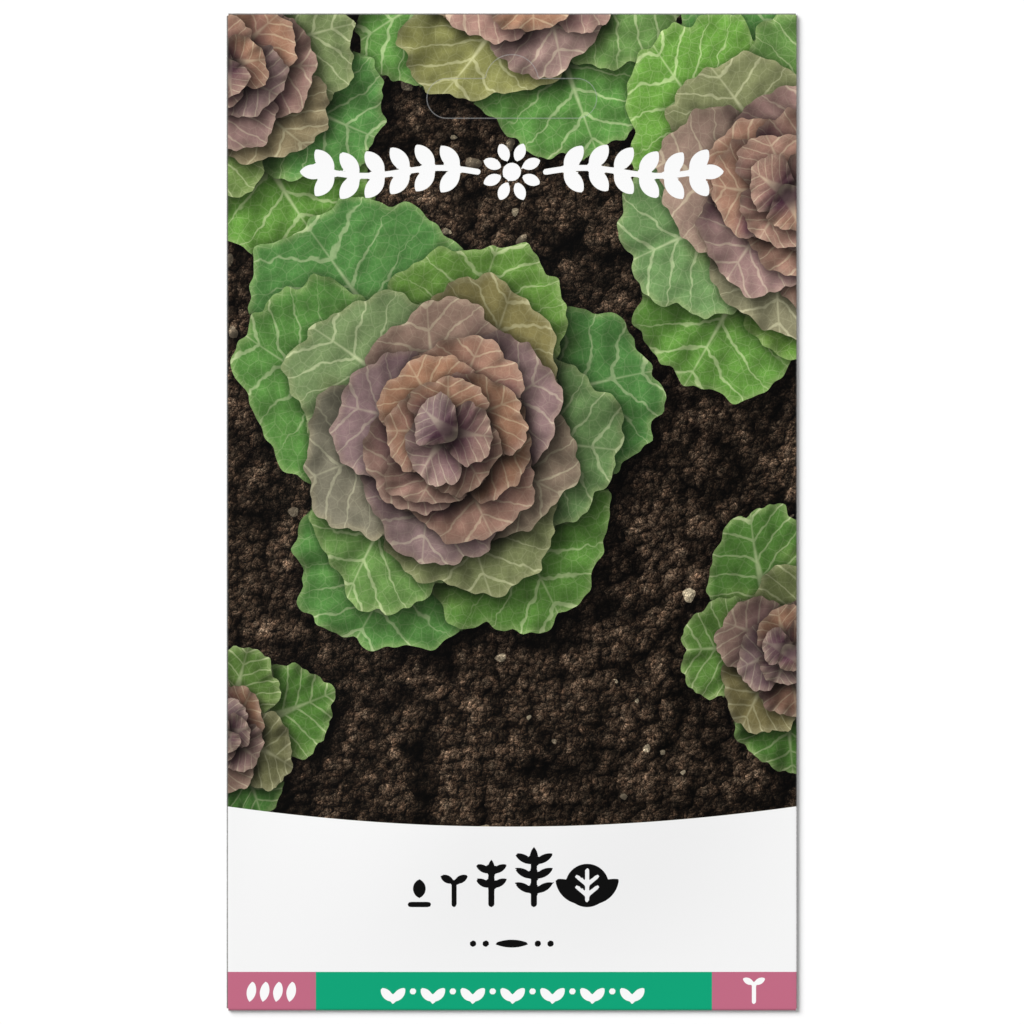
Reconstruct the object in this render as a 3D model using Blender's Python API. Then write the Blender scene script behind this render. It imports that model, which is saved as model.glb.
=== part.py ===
"""A flat paper seed packet, lying on its back: one folded and glued sheet round a sealed pouch of seeds.

X runs across the packet, Y from its bottom edge to the edge with the hanging slot, and Z out of its front.
The origin is the middle of the packet at the height of the surface that it lies on.
"""

import math
import random

import bmesh
import bpy
from mathutils import Vector

MM = 0.001

# The closed packet
WIDTH = 107.5 * MM
HEIGHT = 188.0 * MM
PAPER = 0.15 * MM
GLUE_LINE = 0.10 * MM
PILLOW_RISE = 2.45 * MM
SIDE_RAMP = 46.0 * MM
BOTTOM_RAMP = 44.0 * MM
TOP_RAMP = 48.0 * MM

# Its flaps, each measured from the fold to the free edge
SIDE_FLAP = 12.0 * MM
BOTTOM_FLAP = 15.0 * MM
TOP_FLAP = 28.0 * MM
FLAP_TAPER = 5.0 * MM
BACK_EDGE_MARGIN = 0.7 * MM

# The hanging slot: a stadium with a round rise above its middle, die-cut but not yet pushed out
SLOT_WIDTH = 32.0 * MM
SLOT_HEIGHT = 7.5 * MM
SLOT_RISE_RADIUS = 5.0 * MM
SLOT_TOTAL_HEIGHT = 12.0 * MM
SLOT_TO_TOP_EDGE = 7.8 * MM
SLOT_CUT = 0.25 * MM
CUTTER_REACH = 1.0 * MM

# The pouch and its seeds
NODE_GAP = 0.20 * MM
FILM = 0.10 * MM
POUCH_WIDTH = 60.0 * MM
POUCH_HEIGHT = 80.0 * MM
POUCH_CENTRE_Y = -26.0 * MM
POUCH_RAMP = 18.0 * MM
SEED_DIAMETER = 1.7 * MM
SEED_PITCH = 0.92 * SEED_DIAMETER
SEED_PATCH = (7.6 * MM, 4.4 * MM)
SEED_PATCH_CENTRE = (-2.0 * MM, -34.0 * MM)
PATCH_LOBES = 3
PATCH_LOBE_DEPTH = 0.12
PATCH_LOBE_START = 0.6
SEED_JITTER = 0.02 * SEED_DIAMETER
SEED_SUBDIVISIONS = 2
SEED_DRAW = 7

# Layers of the folded sheet, as heights of the middle of the paper, from the surface up
LAYER = PAPER + GLUE_LINE
FLAP_LEVEL = PAPER / 2
BACK_LEVEL = FLAP_LEVEL + LAYER
SIDE_FLAP_LEVEL = BACK_LEVEL + LAYER
FRONT_LEVEL = SIDE_FLAP_LEVEL + LAYER

LEFT_FOLD_RADIUS = (FRONT_LEVEL - BACK_LEVEL) / 2
RIGHT_FOLD_RADIUS = (FRONT_LEVEL - SIDE_FLAP_LEVEL) / 2
END_FOLD_RADIUS = (FRONT_LEVEL - FLAP_LEVEL) / 2

# How finely each stretch of the sheet and of the pouch is divided
SIDE_FLAP_COLUMNS = 2
FRONT_COLUMNS = 16
BACK_COLUMNS = 8
BODY_ROWS = 28
FOLD_STEPS = 4
FLAP_ROWS = 2
ARC_STEPS = 12
FILM_COLUMNS = 15
FILM_ROWS = 20
SHARP_ANGLE = math.radians(40)

# Each material's colour and roughness
PRINTED_PAPER = (0.90, 0.90, 0.89, 1.0), 0.45
GLASSINE = (0.84, 0.82, 0.76, 1.0), 0.35
SEED_COAT = (0.10, 0.05, 0.04, 1.0), 0.6


def clear_scene():
    for obj in list(bpy.data.objects):
        bpy.data.objects.remove(obj)


def make_material(name, colour, roughness):
    material = bpy.data.materials.new(name)
    material.use_nodes = True
    shader = material.node_tree.nodes["Principled BSDF"]
    shader.inputs["Base Color"].default_value = colour
    shader.inputs["Roughness"].default_value = roughness
    shader.inputs["Metallic"].default_value = 0.0
    return material


def make_object(name, bm, material):
    bmesh.ops.recalc_face_normals(bm, faces=bm.faces)
    mesh = bpy.data.meshes.new(name)
    bm.to_mesh(mesh)
    bm.free()
    mesh.shade_smooth()
    mesh.set_sharp_from_angle(angle=SHARP_ANGLE)
    mesh.materials.append(material)
    obj = bpy.data.objects.new(name, mesh)
    bpy.context.scene.collection.objects.link(obj)
    return obj


def smoothstep(distance, ramp):
    """Rises from 0 to 1 over the ramp, level at both ends."""
    t = min(max(distance / ramp, 0.0), 1.0)
    return t * t * (3 - 2 * t)


def spread(start, end, steps):
    return [start + (end - start) * i / steps for i in range(steps + 1)]


def pillow(x, y):
    """How far the pouch lifts the front panel above its level at the folds."""
    across = smoothstep(WIDTH / 2 - abs(x), SIDE_RAMP)
    from_bottom = smoothstep(y + HEIGHT / 2, BOTTOM_RAMP)
    from_header = smoothstep(HEIGHT / 2 - TOP_FLAP - y, TOP_RAMP)
    return PILLOW_RISE * across * from_bottom * from_header


def cross_section():
    """The sheet's path round the body, from the side flap's free edge to the back panel's.

    Each point has x, z, the outward direction in x and z, and the name of its part of the sheet.
    """
    right = WIDTH / 2 - PAPER / 2 - RIGHT_FOLD_RADIUS
    left = -WIDTH / 2 + PAPER / 2 + LEFT_FOLD_RADIUS
    path = []
    for x in spread(WIDTH / 2 - SIDE_FLAP, right, SIDE_FLAP_COLUMNS)[:-1]:
        path.append((x, SIDE_FLAP_LEVEL, (0.0, -1.0), "side_flap"))
    for angle in spread(-math.pi / 2, math.pi / 2, FOLD_STEPS)[:-1]:
        out = (math.cos(angle), math.sin(angle))
        middle = FRONT_LEVEL - RIGHT_FOLD_RADIUS
        path.append((right + RIGHT_FOLD_RADIUS * out[0], middle + RIGHT_FOLD_RADIUS * out[1], out, "fold"))
    for x in spread(right, left, FRONT_COLUMNS):
        path.append((x, FRONT_LEVEL, (0.0, 1.0), "front"))
    for angle in spread(math.pi / 2, 3 * math.pi / 2, FOLD_STEPS)[1:]:
        out = (math.cos(angle), math.sin(angle))
        middle = FRONT_LEVEL - LEFT_FOLD_RADIUS
        path.append((left + LEFT_FOLD_RADIUS * out[0], middle + LEFT_FOLD_RADIUS * out[1], out, "fold"))
    for x in spread(left, WIDTH / 2 - BACK_EDGE_MARGIN, BACK_COLUMNS)[1:]:
        path.append((x, BACK_LEVEL, (0.0, -1.0), "back"))
    return path


def lengthwise_rows():
    """The front panel's path from the bottom flap's free edge to the top flap's.

    Each point has y, z outside the body or None in it, the outward direction in y and z, and the share of the
    flap's depth.
    """
    end = HEIGHT / 2 - PAPER / 2 - END_FOLD_RADIUS
    middle = FRONT_LEVEL - END_FOLD_RADIUS

    def flap(side, depth):
        """Rows from the free edge of the flap up to the start of its fold."""
        rows = []
        for share in spread(1.0, 0.0, FLAP_ROWS)[:-1]:
            rows.append((side * (end - depth * share), FLAP_LEVEL, (0.0, -1.0), share))
        for angle in spread(-math.pi / 2, math.pi / 2, FOLD_STEPS)[:-1]:
            out = (side * math.cos(angle), math.sin(angle))
            rows.append((side * end + END_FOLD_RADIUS * out[0], middle + END_FOLD_RADIUS * out[1], out, 0.0))
        return rows

    body = [(y, None, (0.0, 1.0), 0.0) for y in spread(-end, end, BODY_ROWS)]
    return flap(-1, BOTTOM_FLAP) + body + list(reversed(flap(1, TOP_FLAP)))


def make_sheet(material):
    """The whole folded blank, thickened from the path of the middle of its paper."""
    columns = cross_section()
    rows = lengthwise_rows()
    half = PAPER / 2
    bm = bmesh.new()
    outer, inner = {}, {}
    for j, (y, z_end, out_end, share) in enumerate(rows):
        for i, (x, z, out, part) in enumerate(columns):
            in_body = z_end is None
            if not in_body and part != "front":
                continue
            if in_body:
                lift = pillow(x, y) if part == "front" else 0.0
                point = Vector((x, y, z + lift))
                normal = Vector((out[0], 0.0, out[1]))
            else:
                taper = 1.0 - share * FLAP_TAPER / (WIDTH / 2)
                point = Vector((x * taper, y, z_end))
                normal = Vector((0.0, out_end[0], out_end[1]))
            outer[i, j] = bm.verts.new(point + normal * half)
            inner[i, j] = bm.verts.new(point - normal * half)

    cells = [
        (i, j)
        for (i, j) in outer
        if (i + 1, j) in outer and (i, j + 1) in outer and (i + 1, j + 1) in outer
    ]
    edge_uses = {}
    for i, j in cells:
        ring = [(i, j), (i + 1, j), (i + 1, j + 1), (i, j + 1)]
        bm.faces.new([outer[k] for k in ring])
        bm.faces.new([inner[k] for k in reversed(ring)])
        for a, b in zip(ring, ring[1:] + ring[:1]):
            edge_uses.setdefault(frozenset((a, b)), []).append((a, b))
    for uses in edge_uses.values():
        if len(uses) == 1:
            a, b = uses[0]
            bm.faces.new([outer[b], outer[a], inner[a], inner[b]])
    return make_object("packet_sheet", bm, material)


def slot_outline(offset):
    """The hanging slot's outline, moved outward by offset, anticlockwise from the lower right."""
    radius = SLOT_HEIGHT / 2 + offset
    reach = SLOT_WIDTH / 2 - SLOT_HEIGHT / 2
    bottom = HEIGHT / 2 - SLOT_TO_TOP_EDGE - SLOT_TOTAL_HEIGHT
    middle = bottom + SLOT_HEIGHT / 2
    rise = SLOT_RISE_RADIUS + offset
    rise_centre = bottom + SLOT_TOTAL_HEIGHT - SLOT_RISE_RADIUS
    start = math.asin((middle + radius - rise_centre) / rise)
    points = []
    for angle in spread(-math.pi / 2, math.pi / 2, ARC_STEPS):
        points.append((reach + radius * math.cos(angle), middle + radius * math.sin(angle)))
    for angle in spread(start, math.pi - start, ARC_STEPS):
        points.append((rise * math.cos(angle), rise_centre + rise * math.sin(angle)))
    for angle in spread(math.pi / 2, 3 * math.pi / 2, ARC_STEPS):
        points.append((-reach + radius * math.cos(angle), middle + radius * math.sin(angle)))
    return points


def extrude_outline(points, low, high):
    bm = bmesh.new()
    face = bm.faces.new([bm.verts.new((x, y, low)) for x, y in points])
    raised = bmesh.ops.extrude_face_region(bm, geom=[face])
    tops = [v for v in raised["geom"] if isinstance(v, bmesh.types.BMVert)]
    bmesh.ops.translate(bm, verts=tops, vec=(0.0, 0.0, high - low))
    return bm


def cut_slot(sheet, material):
    """Punches the slot through the three layers of the header."""
    bm = extrude_outline(slot_outline(SLOT_CUT / 2), -CUTTER_REACH, FRONT_LEVEL + CUTTER_REACH)
    cutter = make_object("slot_cutter", bm, material)
    cutter.hide_render = True
    cutter.display_type = "WIRE"
    cut = sheet.modifiers.new("slot", "BOOLEAN")
    cut.operation = "DIFFERENCE"
    cut.object = cutter
    cut.solver = "EXACT"


def make_slot_chip(material):
    """The push-out piece, with the header's layers glued together in it, still lying in its hole."""
    bm = extrude_outline(slot_outline(-SLOT_CUT / 2), 0.0, FRONT_LEVEL + PAPER / 2)
    make_object("slot_chip", bm, material)


def make_film(name, low, dome, columns, rows, material):
    """One film of the pouch. dome is how far its middle stands above its sealed rim."""
    xs = spread(-POUCH_WIDTH / 2, POUCH_WIDTH / 2, columns)
    ys = spread(-POUCH_HEIGHT / 2, POUCH_HEIGHT / 2, rows)
    bm = bmesh.new()
    grid = []
    for x in xs:
        line = []
        for y in ys:
            lift = dome * smoothstep(POUCH_WIDTH / 2 - abs(x), POUCH_RAMP)
            lift *= smoothstep(POUCH_HEIGHT / 2 - abs(y), POUCH_RAMP)
            line.append(bm.verts.new((x, y + POUCH_CENTRE_Y, low + lift)))
        grid.append(line)
    for i in range(columns):
        for j in range(rows):
            bm.faces.new((grid[i][j], grid[i + 1][j], grid[i + 1][j + 1], grid[i][j + 1]))
    raised = bmesh.ops.extrude_face_region(bm, geom=list(bm.faces))
    tops = [v for v in raised["geom"] if isinstance(v, bmesh.types.BMVert)]
    bmesh.ops.translate(bm, verts=tops, vec=(0.0, 0.0, FILM))
    return make_object(name, bm, material)


def seed_places(draw):
    """Hexagonal places inside an oval with a loose edge, row by row."""
    half_x, half_y = SEED_PATCH
    row_pitch = SEED_PITCH * math.sin(math.pi / 3)
    rows = int(half_y / row_pitch) + 1
    columns = int(half_x / SEED_PITCH) + 1
    places = []
    for r in range(-rows, rows + 1):
        for c in range(-columns, columns + 1):
            x = (c + 0.5 * (r % 2)) * SEED_PITCH
            y = r * row_pitch
            edge = 1.0 + PATCH_LOBE_DEPTH * math.sin(PATCH_LOBES * math.atan2(y, x) + PATCH_LOBE_START)
            if (x / half_x) ** 2 + (y / half_y) ** 2 < edge**2:
                dx, dy = (draw.uniform(-SEED_JITTER, SEED_JITTER) for _ in range(2))
                places.append((x + dx, y + dy))
    return places


def make_seeds(level, material):
    """One layer of round seeds, touching and joined in one body."""
    draw = random.Random(SEED_DRAW)
    gathered = bpy.data.collections.new("loose_seeds")
    bpy.context.scene.collection.children.link(gathered)
    seeds = []
    for x, y in seed_places(draw):
        bm = bmesh.new()
        bmesh.ops.create_icosphere(bm, subdivisions=SEED_SUBDIVISIONS, radius=SEED_DIAMETER / 2)
        mesh = bpy.data.meshes.new("seed")
        bm.to_mesh(mesh)
        bm.free()
        seed = bpy.data.objects.new("seed", mesh)
        seed.location = (x + SEED_PATCH_CENTRE[0], y + SEED_PATCH_CENTRE[1], level)
        seed.rotation_euler = [draw.uniform(0, math.pi) for _ in range(3)]
        gathered.objects.link(seed)
        seeds.append(seed)

    heap = seeds.pop(0)
    gathered.objects.unlink(heap)
    bpy.context.scene.collection.objects.link(heap)
    heap.name = "seeds"
    heap.data.materials.append(material)
    join = heap.modifiers.new("join", "BOOLEAN")
    join.operation = "UNION"
    join.operand_type = "COLLECTION"
    join.collection = gathered
    join.solver = "EXACT"
    bpy.context.view_layer.update()
    graph = bpy.context.evaluated_depsgraph_get()
    joined = bpy.data.meshes.new_from_object(heap.evaluated_get(graph))
    heap.modifiers.clear()
    heap.data = joined
    for seed in seeds:
        bpy.data.objects.remove(seed)
    bpy.data.collections.remove(gathered)


def main():
    clear_scene()
    paper = make_material("printed_paper", *PRINTED_PAPER)
    film = make_material("glassine", *GLASSINE)
    coat = make_material("seed_coat", *SEED_COAT)

    sheet = make_sheet(paper)
    cut_slot(sheet, paper)
    make_slot_chip(paper)

    film_low = BACK_LEVEL + PAPER / 2 + NODE_GAP
    rim_low = film_low + FILM + NODE_GAP
    seed_level = rim_low + SEED_DIAMETER / 2
    make_film("pouch_back_film", film_low, 0.0, 1, 1, film)
    make_film("pouch_front_film", rim_low, SEED_DIAMETER + NODE_GAP, FILM_COLUMNS, FILM_ROWS, film)
    make_seeds(seed_level, coat)


main()
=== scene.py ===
"""The looks of a closed paper seed packet that lies on its back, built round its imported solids.

The packet is one printed sheet, folded and glued. It is modelled on the lattice of the unfolded sheet, whose
coordinates are s across and t along, in millimetres from the middle of the front panel, and then folded.
The printed design is laid on that lattice shape by shape, so every edge in it is crisp at any distance.
"""

import math
import random

import bpy
import numpy as np
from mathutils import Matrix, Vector


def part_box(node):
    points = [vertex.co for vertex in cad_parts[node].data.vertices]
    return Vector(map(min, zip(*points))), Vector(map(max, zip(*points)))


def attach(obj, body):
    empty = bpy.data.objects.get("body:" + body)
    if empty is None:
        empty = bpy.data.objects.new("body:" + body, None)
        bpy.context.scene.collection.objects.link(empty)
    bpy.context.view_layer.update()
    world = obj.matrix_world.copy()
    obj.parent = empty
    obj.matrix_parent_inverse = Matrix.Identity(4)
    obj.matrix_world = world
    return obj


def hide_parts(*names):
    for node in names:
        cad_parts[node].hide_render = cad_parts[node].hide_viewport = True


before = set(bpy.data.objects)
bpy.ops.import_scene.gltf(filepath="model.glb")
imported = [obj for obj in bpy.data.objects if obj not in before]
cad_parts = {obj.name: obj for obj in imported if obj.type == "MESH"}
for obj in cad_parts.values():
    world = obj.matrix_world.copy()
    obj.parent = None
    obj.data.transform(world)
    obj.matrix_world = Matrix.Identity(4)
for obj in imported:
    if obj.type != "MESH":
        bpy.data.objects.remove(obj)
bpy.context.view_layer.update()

MM = 0.001
TAU = 2 * math.pi
LOW, HIGH = (np.array(corner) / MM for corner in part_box("packet_sheet"))

# The folded sheet, in millimetres, as its solid has it
WIDTH, HEIGHT, THICKNESS = HIGH - LOW
PAPER = 0.15
GLUE_LINE = 0.10
SIDE_RAMP, BOTTOM_RAMP, TOP_RAMP = 46.0, 44.0, 48.0
SIDE_FLAP, BOTTOM_FLAP, TOP_FLAP = 12.0, 15.0, 28.0
FLAP_TAPER = 5.0
BACK_EDGE_MARGIN = 0.7
FLAP_LEVEL = PAPER / 2
BACK_LEVEL = FLAP_LEVEL + PAPER + GLUE_LINE
SIDE_FLAP_LEVEL = BACK_LEVEL + PAPER + GLUE_LINE
FRONT_LEVEL = SIDE_FLAP_LEVEL + PAPER + GLUE_LINE
PILLOW_RISE = THICKNESS - FRONT_LEVEL - PAPER / 2
LEFT_RADIUS = (FRONT_LEVEL - BACK_LEVEL) / 2
RIGHT_RADIUS = (FRONT_LEVEL - SIDE_FLAP_LEVEL) / 2
END_RADIUS = (FRONT_LEVEL - FLAP_LEVEL) / 2
LEFT = -WIDTH / 2 + PAPER / 2 + LEFT_RADIUS
RIGHT = WIDTH / 2 - PAPER / 2 - RIGHT_RADIUS
END = HEIGHT / 2 - PAPER / 2 - END_RADIUS

# The hanging slot, from the box of its push-out piece
CHIP_LOW, CHIP_HIGH = (np.array(corner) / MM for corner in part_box("slot_chip"))
CAD_SLOT_GAP = 0.25
SLOT_WIDTH = CHIP_HIGH[0] - CHIP_LOW[0] + CAD_SLOT_GAP
SLOT_BOTTOM = CHIP_LOW[1] - CAD_SLOT_GAP / 2
SLOT_TOP = CHIP_HIGH[1] + CAD_SLOT_GAP / 2
SLOT_HEIGHT = 7.5
SLOT_RISE_RADIUS = 5.0
SLOT_MIDDLE = SLOT_BOTTOM + SLOT_HEIGHT / 2
SLOT_REACH = (SLOT_WIDTH - SLOT_HEIGHT) / 2
SLOT_CUT = 0.03
CUT_LINE = 0.09

# The lattice
CELL = 0.5
FINE_CELL = 0.4
BAND_CELL = 0.28
LABEL_ROWS = (-61.0, -54.0)
GARLAND_ROWS = (57.0, 71.0)
BACK_CELL = 1.3
FOLD_STEPS = 10
FLAP_ROWS, SIDE_FLAP_COLUMNS = 6, 4
STRIP_ENDS = (-43.0, 31.0)
MONTH_WIDTH = 7.0
MONTH_LINES = tuple(MONTH_WIDTH * (n - 6) for n in range(13))
MONTH_STROKE = 0.7
WAVE_HEIGHT, WAVE_SIZE = 0.035, 38.0

# The design's zones
LABEL_MIDDLE = -59.18
LABEL_ARC_RADIUS = 390.0
BAND_TOP = -86.66
BAND_LEFT, BAND_RIGHT = -36.90, 37.72
PAST_LINE = 0.03
GARLAND_STEPS = 25
CALENDAR_TOP, CALENDAR_HEIGHT = -6.0, 33.0

# The light in the printed picture, the room's light on the packet, and the camera's frame
SUN = np.array((-0.5, 0.6, 0.75)) / np.linalg.norm((-0.5, 0.6, 0.75))
AMBIENT = 0.38
ROOM_LIGHT = 1.158
ROOM_SIDES, ROOM_TOP, ROOM_RAMP = 0.5, 0.36, (0.45, 0.92)
KEY_VECTOR = Vector((-0.92, 0.92, 1.0)).normalized()
KEY_ANGLE = math.radians(38)
FRAME_WIDTH = 192.98
VIEW_MIDDLE = (0.04, 0.0)
LENS, SENSOR = 200, 36
FLOOR_HALF, FLOOR_GAP = 4.0, 0.02 * MM

# Kinds of print. Soil's detail fades out from SOIL to LEAF, and a leaf's veins from LEAF to LEAF + 1
SOIL, LEAF, INK = 0.0, 1.0, 3.0
CORNERS = ((0, 0), (1, 0), (1, 1), (0, 1))
GOLDEN_ANGLE = math.radians(137.5)

# Each cabbage has its middle, its radius, its number of leaves, its brightness and its seed
ROSETTES = (
    ((3, 104), 43, 20, 1.3, 34),
    ((-54, 84), 38, 22, 1.1, 5),
    ((52, 60), 45, 26, 1.2, 8),
    ((-54, -42), 21, 16, 0.62, 13),
    ((52, -26), 26, 18, 0.62, 21),
    ((-12, 15), 47, 30, 0.95, 2),
)

# Each size of crumb has its breadth, its relief and how dark its gaps are
SOIL_WARP = 1.4
SOIL_CRUMBS = ((5.0, 0.9, 0.45), (2.2, 1.1, 0.5), (1.0, 1.2, 0.45), (0.5, 1.0, 0.3))

# Where each part of a piece lies on its texture: a start and a length, and the offsets of the edges' bands
ACROSS = (0.004, 0.980)
FRONT_ALONG, BACK_ALONG = (0.004, 0.656), (0.670, 0.255)
FRONT_INSIDE, BACK_INSIDE = (0.935, 0.018), (0.960, 0.018)
LOW_RIM, RIM_STEP, BACK_RIM_STEP = 0.981, 0.009, 0.0045
RIGHT_RIM, LEFT_RIM, RIM_DEPTH = 0.989, 0.995, 0.0025
SLOT_RIM, SLOT_RIM_DEPTH = 0.9985, 0.001


def ink(red, green, blue):
    """A printed colour, from how it looks in the room's light, as linear light."""
    srgb = np.array((red, green, blue)) / 255
    linear = np.where(srgb > 0.04045, ((srgb + 0.055) / 1.055) ** 2.4, srgb / 12.92)
    return linear / ROOM_LIGHT


PANEL = ink(245, 245, 245)
WHITE = ink(250, 250, 250)
BLACK = ink(12, 12, 12)
PINK = ink(193, 107, 132)
GREEN = ink(13, 164, 120)
SOIL_BROWN = ink(62, 51, 41)


def smooth(value, low, high):
    """Rises from 0 at low to 1 at high, level at both ends."""
    share = np.clip((value - low) / (high - low), 0.0, 1.0)
    return share * share * (3 - 2 * share)


def steps(start, end, size):
    return np.linspace(start, end, max(1, round(abs(end - start) / size)) + 1)


def joined_steps(lines, sizes):
    """Steps of these sizes between these lines."""
    parts = [steps(low, high, size)[:-1] for low, high, size in zip(lines, lines[1:], sizes)]
    return np.concatenate([*parts, [lines[-1]]])


# The printed design


def corners(values):
    """The values at the four corners of each cell of a lattice."""
    ni, nj = values.shape[0] - 1, values.shape[1] - 1
    return np.stack([values[i : i + ni, j : j + nj] for i, j in CORNERS], axis=2)


class Print:
    """A design on a lattice. A coat is red, green, blue, kind, and three numbers that place a leaf's veins.

    Each cell keeps the coats on both sides of the last edge that crosses it, and the distance to that edge.
    """

    def __init__(self, s, t):
        self.s, self.t = s, t
        self.coat = np.zeros((len(s), len(t), 7))
        self.over = corners(self.coat)
        self.under = corners(self.coat)
        self.edge = -np.ones(self.over.shape[:3])

    def window(self, low_s, high_s, low_t, high_t):
        """The slices of the lattice that cover this box, and the places of its points."""
        i = slice(*np.clip(np.searchsorted(self.s, (low_s, high_s)) + (-1, 1), 0, len(self.s)))
        j = slice(*np.clip(np.searchsorted(self.t, (low_t, high_t)) + (-1, 1), 0, len(self.t)))
        return (i, j), *np.meshgrid(self.s[i], self.t[j], indexing="ij")

    def paint(self, window, distance, coat):
        """Lays a coat where the distance is negative."""
        cells = tuple(slice(axis.start, axis.stop - 1) for axis in window)
        around = corners(distance)
        touched = around.min(axis=2) < 0
        self.under[cells][touched] = corners(self.coat[window])[touched]
        self.over[cells][touched] = corners(coat)[touched]
        self.edge[cells][touched] = around[touched]
        inside = distance < 0
        self.coat[window][inside] = coat[inside]

    def dim(self, window, light):
        """Multiplies what is there by the light that reaches it."""
        cells = tuple(slice(axis.start, axis.stop - 1) for axis in window)
        self.coat[window][..., :3] *= light[..., None]
        around = corners(light)[..., None]
        self.over[cells][..., :3] *= around
        self.under[cells][..., :3] *= around

    def fill(self, box, shape, colour):
        """Lays one flat colour on a shape, given as a function of s and t to a distance."""
        window, s, t = self.window(*box)
        self.paint(window, shape(s, t), coat_of(np.broadcast_to(colour, s.shape + (3,)), INK))


def coat_of(colour, kind, veins=(0.0, 0.0, 0.0)):
    """A coat from a colour array, its kind, and the arrays or numbers that place veins."""
    shape = colour.shape[:-1]
    rest = [np.broadcast_to(value, shape) for value in (kind, *veins)]
    return np.concatenate([colour, np.stack(rest, axis=-1)], axis=-1)


def ripple(s, t, size, draw, terms=7):
    """Smooth irregular noise of about -1 to 1, with lumps of about this size."""
    total = np.zeros_like(s)
    for _ in range(terms):
        heading, pitch = draw.uniform(0, TAU), TAU / size * draw.uniform(0.6, 1.5)
        along = s * math.cos(heading) + t * math.sin(heading)
        total += np.sin(pitch * along + draw.uniform(0, TAU))
    return total / math.sqrt(terms)


def outline_distance(x, y, outline):
    """Signed distance to a closed outline, negative inside."""
    start, end = outline, np.roll(outline, -1, axis=0)
    run = end - start
    dx, dy = x[..., None] - start[:, 0], y[..., None] - start[:, 1]
    share = np.clip((dx * run[:, 0] + dy * run[:, 1]) / (run**2).sum(axis=1), 0, 1)
    away = np.hypot(dx - share * run[:, 0], dy - share * run[:, 1]).min(axis=-1)
    above = (start[:, 1] > y[..., None]) != (end[:, 1] > y[..., None])
    slope = run[:, 0] / np.where(run[:, 1] == 0, 1e-9, run[:, 1])
    crossed = above & (dx < dy * slope)
    return np.where(crossed.sum(axis=-1) % 2 == 1, -away, away)


def turned(x, y, angle):
    return x * math.cos(angle) + y * math.sin(angle), y * math.cos(angle) - x * math.sin(angle)


def lit(height, s, t):
    """How bright a relief is in the design's own sunlight, with 1 for a level surface."""
    slope_s, slope_t = np.gradient(height, s[:, 0], t[0])
    facing = SUN[2] - slope_s * SUN[0] - slope_t * SUN[1]
    facing = np.clip(facing / np.sqrt(1 + slope_s**2 + slope_t**2), 0, None)
    return AMBIENT + (1 - AMBIENT) * facing / SUN[2]


def leaf_outline(length, width, ruffle, draw):
    """A broad leaf with a wavy edge, from its base at 0,0 towards +x."""
    a = np.linspace(0, TAU, 150, endpoint=False)
    back = np.clip(-np.cos(a), 0, 1)
    x = length * (0.55 + np.where(np.cos(a) > 0, 0.45, 0.55) * np.cos(a))
    y = width / 2 * np.sin(a) * (1 - 0.55 * back)
    wave = np.zeros_like(a)
    for count, depth in ((3, 0.03), (5, 0.035), (8, 0.028), (13, 0.024), (22, 0.016), (37, 0.008)):
        wave += depth * np.sin(count * a + draw.uniform(0, TAU))
    grow = 1 + ruffle * wave * (1 - back)
    return np.stack([length * 0.5 + (x - length * 0.5) * grow, y * grow], axis=1)


def leaf(design, base, angle, length, width, look, draw):
    """One leaf, with the shadow that it casts on what is under it."""
    outline = leaf_outline(length, width, look["ruffle"], draw)
    bend = draw.uniform(-0.22, 0.22)
    bent = outline[:, 1] + bend * outline[:, 0] ** 2 / length
    tips = turned(outline[:, 0], bent, -angle)
    drop = look["drop"]
    window, s, t = design.window(
        base[0] + tips[0].min() - drop,
        base[0] + tips[0].max() + 3 * drop,
        base[1] + tips[1].min() - 3 * drop,
        base[1] + tips[1].max() + drop,
    )
    if min(s.shape) < 3:
        return

    def leaf_places(s, t):
        x, y = turned(s - base[0], t - base[1], angle)
        return x, y - bend * x**2 / length

    shadow = outline_distance(*leaf_places(s - drop, t + drop), outline)
    close = outline_distance(*leaf_places(s, t), outline)
    light = 0.30 + 0.70 * smooth(shadow, -drop, 1.5 * drop)
    light *= 0.55 + 0.45 * smooth(close, -0.5, 1.6)
    design.dim(window, light)

    # The relief: a cup across, an arch along, folds at the edge, and swellings between the veins
    x, y = leaf_places(s, t)
    inside = -close
    phase = (x - 0.75 * np.abs(y) + 0.5 * y**2 / width) / (length / look["veins"])
    around = np.arctan2(y, x - length * 0.45)
    relief = look["cup"] * y**2 / width + look["arch"] * x * (1 - x / length)
    turn = around * look["folds"]
    folds = np.sin(turn + draw.uniform(0, TAU)) + 0.6 * np.sin(1.9 * turn)
    relief += look["fold_height"] * folds * np.exp(-np.clip(inside, 0, None) / (0.13 * width)) * 0.6
    relief += 0.22 * np.sin(math.pi * phase) ** 2 * smooth(np.abs(y), 0.5, 4.0)
    relief += 0.25 * ripple(s, t, 7.0, draw)

    # The colour: dark at the base, from the heart's to the blade's, and pale at the margin
    shade = lit(relief, s, t)
    shade *= 0.32 + 0.68 * smooth(x / length, look["deep"] - 0.25, look["deep"] + 0.3)
    tint = smooth(x / length + 0.12 * ripple(s, t, 12.0, draw), look["turn"] - 0.35, look["turn"] + 0.3)
    colour = look["heart"] * (1 - tint[..., None]) + look["blade"] * tint[..., None]
    margin = smooth(inside, 1.4, 0.0)[..., None]
    colour = colour * (1 - 0.35 * margin) + look["margin"] * 0.35 * margin
    colour = colour * (1 + 0.10 * ripple(s, t, 4.0, draw)[..., None]) * shade[..., None]
    kind = LEAF + 1 - look["contrast"]
    design.paint(window, close, coat_of(colour, kind, (y, phase, x / length)))


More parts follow.
